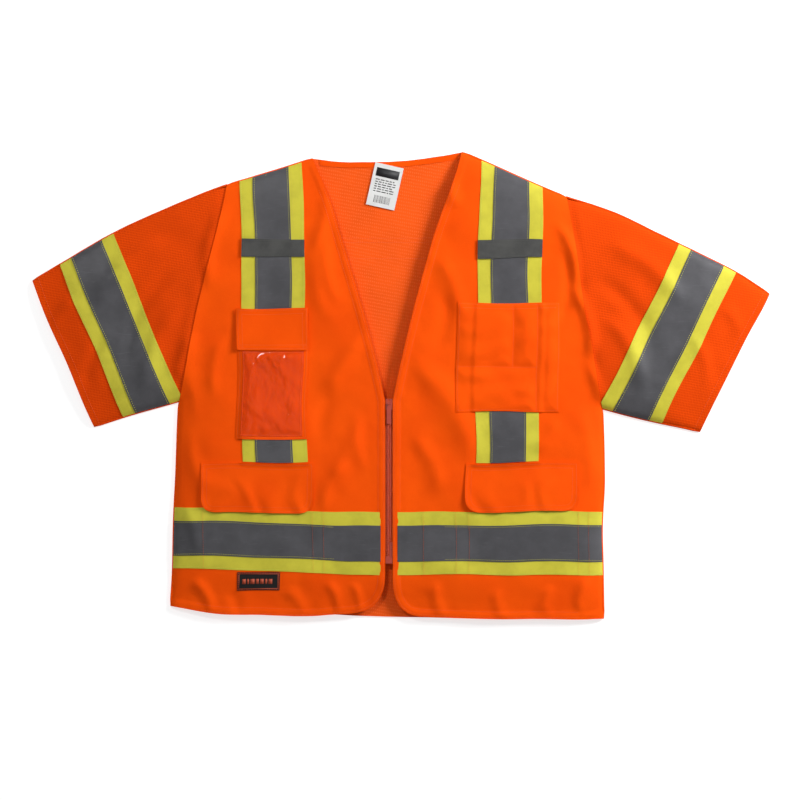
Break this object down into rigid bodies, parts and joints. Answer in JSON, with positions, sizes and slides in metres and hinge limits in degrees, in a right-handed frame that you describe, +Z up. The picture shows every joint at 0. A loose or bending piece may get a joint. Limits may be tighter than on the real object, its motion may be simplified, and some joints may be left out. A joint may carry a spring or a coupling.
{
  "type": "high visibility vest",
  "caption": "Short-sleeved orange work vest with two-tone reflective tape, flap pockets, a clear identity card pocket and a separating front zip, laid flat on its back.",
  "frame": {"origin": "on the zip line at the middle of the waist tape, on the surface that the vest lies on", "axes": "+X to the wearer's left, +Y to the neck, +Z up out of the front"},
  "size_m": [1.044, 0.6615, 0.0234],
  "materials": {
    "orange_cloth": "matt woven polyester",
    "orange_mesh": "matt knitted mesh",
    "lime_tape": "matt knitted tape",
    "silver_tape": "glass bead film, satin",
    "grey_webbing": "matt woven tab",
    "clear_vinyl": "clear soft vinyl, glossy",
    "zip_coil": "moulded nylon coil",
    "zip_tape": "woven zip tape",
    "painted_zip_metal": "gloss paint",
    "black_label": "woven satin label",
    "white_label": "printed satin label",
    "hook_and_loop": "hook and loop patch"
  },
  "bodies": {
    "vest_body": {"back_left_tape": "lime_tape", "back_neck_binding": "orange_cloth", "back_panel": "orange_mesh", "back_right_tape": "lime_tape", "back_waist_tape": "lime_tape", "chest_pocket": "orange_cloth", "hem_label": "black_label", "id_pocket": "orange_cloth", "id_window": "clear_vinyl", "left_front_panel": "orange_cloth", "left_front_tape_lime": "lime_tape", "left_front_tape_silver": "silver_tape", "left_lower_pocket": "orange_mesh", "left_mic_tab": "grey_webbing", "left_pocket_loop": "hook_and_loop", "left_shoulder_seam": "orange_cloth", "left_side_seam": "orange_cloth", "left_waist_tape_lime": "lime_tape", "left_waist_tape_silver": "silver_tape", "right_front_panel": "orange_cloth", "right_front_tape_lime": "lime_tape", "right_front_tape_silver": "silver_tape", "right_lower_pocket": "orange_mesh", "right_mic_tab": "grey_webbing", "right_pocket_loop": "hook_and_loop", "right_shoulder_seam": "orange_cloth", "right_side_seam": "orange_cloth", "right_waist_tape_lime": "lime_tape", "right_waist_tape_silver": "silver_tape"},
    "right_front": {"right_front_edge": "orange_cloth", "right_edge_tape_lime": "lime_tape", "right_edge_tape_silver": "silver_tape", "right_zip_tape": "zip_tape", "right_zip_teeth": "zip_coil", "right_top_stop": "painted_zip_metal", "retainer_box": "painted_zip_metal"},
    "left_front": {"left_front_edge": "orange_cloth", "left_edge_tape_lime": "lime_tape", "left_edge_tape_silver": "silver_tape", "left_zip_tape": "zip_tape", "left_zip_teeth": "zip_coil", "left_top_stop": "painted_zip_metal", "insertion_pin": "painted_zip_metal"},
    "slider": {"zip_slider": "painted_zip_metal"},
    "pull": {"zip_pull": "painted_zip_metal"},
    "id_flap": {"id_pocket_flap": "orange_cloth"},
    "right_flap": {"right_pocket_flap": "orange_cloth", "right_flap_hook": "hook_and_loop"},
    "left_flap": {"left_pocket_flap": "orange_cloth", "left_flap_hook": "hook_and_loop"},
    "neck_label": {"care_label": "white_label"},
    "right_arm": {"right_sleeve": "orange_mesh", "right_sleeve_tape_lime": "lime_tape", "right_sleeve_tape_silver": "silver_tape", "right_sleeve_tape_back": "lime_tape"},
    "left_arm": {"left_sleeve": "orange_mesh", "left_sleeve_tape_lime": "lime_tape", "left_sleeve_tape_silver": "silver_tape", "left_sleeve_tape_back": "lime_tape"}
  },
  "joints": [
    {"name": "zip_slide", "type": "slide", "parent": "right_front", "child": "slider", "axis": [0, -1, 0], "range_m": [0, 0.206]},
    {"name": "zip_pull_swing", "type": "hinge", "parent": "slider", "child": "pull", "pos_m": [0, 0.197, 0.0161], "axis": [-1, 0, 0], "range_deg": [0, 170]},
    {"name": "right_front_fold", "type": "hinge", "parent": "vest_body", "child": "right_front", "pos_m": [-0.08, 0.2, 0.0162], "axis": [0, -1, 0], "range_deg": [0, 160]},
    {"name": "left_front_fold", "type": "hinge", "parent": "vest_body", "child": "left_front", "pos_m": [0.08, 0.2, 0.0162], "axis": [0, 1, 0], "range_deg": [0, 160]},
    {"name": "id_flap_lift", "type": "hinge", "parent": "vest_body", "child": "id_flap", "pos_m": [-0.165, 0.334, 0.0234], "axis": [1, 0, 0], "range_deg": [-165, 0]},
    {"name": "right_flap_lift", "type": "hinge", "parent": "vest_body", "child": "right_flap", "pos_m": [-0.187, 0.114, 0.017], "axis": [1, 0, 0], "range_deg": [-165, 0]},
    {"name": "left_flap_lift", "type": "hinge", "parent": "vest_body", "child": "left_flap", "pos_m": [0.187, 0.114, 0.017], "axis": [1, 0, 0], "range_deg": [-165, 0]},
    {"name": "neck_label_lift", "type": "hinge", "parent": "vest_body", "child": "neck_label", "pos_m": [0.0007, 0.535, 0.0035], "axis": [0.9755, -0.2199, 0], "range_deg": [-165, 0]},
    {"name": "right_sleeve_fold", "type": "hinge", "parent": "vest_body", "child": "right_arm", "pos_m": [-0.264, 0.354, 0.0162], "axis": [0.2197, 0.9756, 0], "range_deg": [0, 100]},
    {"name": "left_sleeve_fold", "type": "hinge", "parent": "vest_body", "child": "left_arm", "pos_m": [0.276, 0.341, 0.0162], "axis": [0.1708, -0.9853, 0], "range_deg": [0, 100]}
  ]
}
